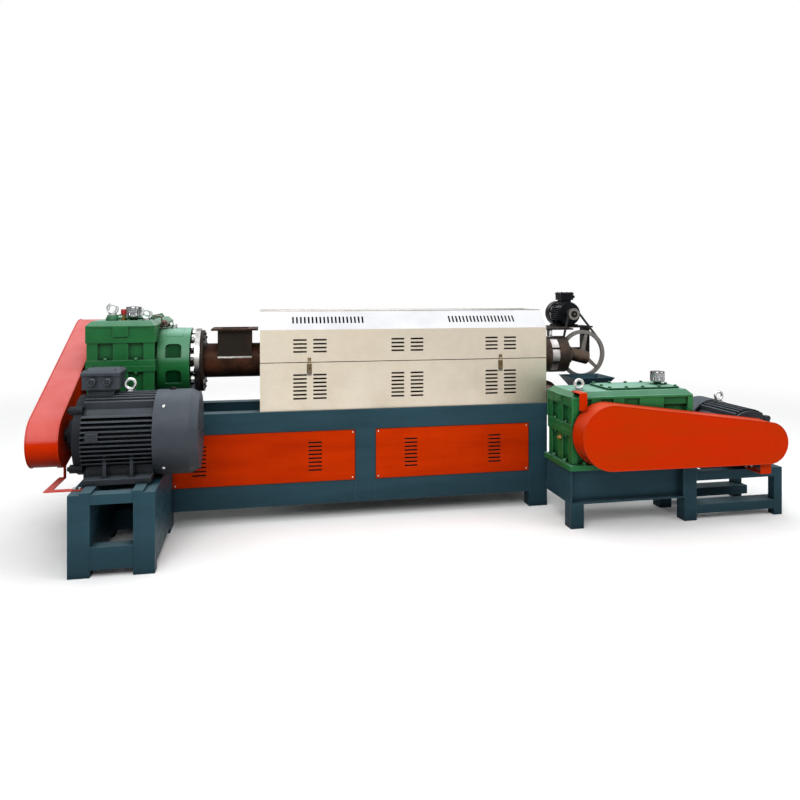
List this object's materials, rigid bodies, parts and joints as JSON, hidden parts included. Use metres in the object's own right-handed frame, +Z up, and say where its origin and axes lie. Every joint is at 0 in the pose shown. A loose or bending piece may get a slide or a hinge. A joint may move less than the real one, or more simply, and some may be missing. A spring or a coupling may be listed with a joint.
{
  "type": "plastic recycling granulator",
  "caption": "Two-stage plastic recycling granulator: a long painted frame with a vented barrel cover, gearboxes, belt-driven motors, feed throat, screen changer and discharge spout.",
  "frame": {"origin": "middle of the machine's floor plan, on the floor", "axes": "+X along the first barrel from the drive to the spout, +Y from the front to the back, +Z up"},
  "size_m": [4.917, 1.885, 1.5642],
  "materials": {
    "frame_paint": "dark slate blue gloss paint",
    "panel_paint": "red-orange paint on sheet",
    "guard_paint": "red-orange paint on sheet",
    "gear_paint": "green paint on cast iron",
    "motor_paint": "dark blue-grey paint on cast iron",
    "sheet_steel": "brushed stainless sheet",
    "bare_steel": "machined steel",
    "rusty_iron": "dark rusty steel",
    "zinc": "zinc plated steel",
    "black_rubber": "black rubber",
    "cast_grey": "bare grey cast iron"
  },
  "bodies": {
    "root": {"frame_posts": "frame_paint", "frame_top": "frame_paint", "frame_bottom": "frame_paint", "gearbox_bed": "frame_paint", "motor_stand": "frame_paint", "stage2_beams": "frame_paint", "stage2_legs": "frame_paint", "stage2_motor_stand": "frame_paint", "stage2_hopper": "frame_paint", "stage2_barrel_stand": "frame_paint", "front_panels": "panel_paint", "rear_panels": "panel_paint", "drive_belt_guard": "guard_paint", "guard_bracket": "guard_paint", "stage2_belt_guard": "guard_paint", "stage2_guard_straps": "guard_paint", "gearbox_lower": "gear_paint", "gearbox_upper": "gear_paint", "gearbox_fittings": "gear_paint", "thrust_housing": "gear_paint", "stage2_gearbox_lower": "gear_paint", "stage2_gearbox_upper": "gear_paint", "stage2_fittings": "gear_paint", "drive_motor_body": "motor_paint", "drive_motor_cowl": "motor_paint", "drive_motor_shield": "motor_paint", "drive_motor_box": "motor_paint", "changer_motor": "motor_paint", "changer_motor_box": "motor_paint", "stage2_motor_body": "motor_paint", "stage2_motor_cowl": "motor_paint", "stage2_motor_shield": "motor_paint", "lifting_eyes": "zinc", "latch_levers": "zinc", "barrel_flange": "bare_steel", "feed_screw": "bare_steel", "heater_bands": "bare_steel", "screen_plate": "bare_steel", "feed_barrel": "rusty_iron", "feed_flange": "rusty_iron", "barrel": "rusty_iron", "die_head": "rusty_iron", "discharge_spout": "rusty_iron", "stage2_barrel": "rusty_iron", "cover_front": "sheet_steel", "cover_rear": "sheet_steel", "cover_ends": "sheet_steel", "hinge_leaves": "sheet_steel", "changer_belt": "black_rubber", "changer_bracket": "cast_grey"},
    "lid": {"lid_front": "sheet_steel", "lid_slopes": "sheet_steel", "lid_top": "sheet_steel", "lid_rear": "sheet_steel", "lid_ends": "sheet_steel", "lid_fittings": "zinc"},
    "wheel": {"changer_wheel": "cast_grey"},
    "pulley": {"motor_pulley": "cast_grey"}
  },
  "joints": [
    {"name": "lid_hinge", "type": "hinge", "parent": "root", "child": "lid", "pos_m": [-0.1155, 0.3855, 1.082], "axis": [-1, 0, 0], "range_deg": [0, 100]},
    {"name": "wheel_spin", "type": "hinge", "parent": "root", "child": "wheel", "pos_m": [1.4405, 0.2875, 1.061], "axis": [0, 1, 0], "continuous": true},
    {"name": "pulley_spin", "type": "hinge", "parent": "root", "child": "pulley", "pos_m": [1.3655, 0.2875, 1.385], "axis": [0, 1, 0], "continuous": true}
  ],
  "couplings": [
    {"joint": "pulley_spin", "follows": "wheel_spin", "ratio": 4.7084}
  ]
}
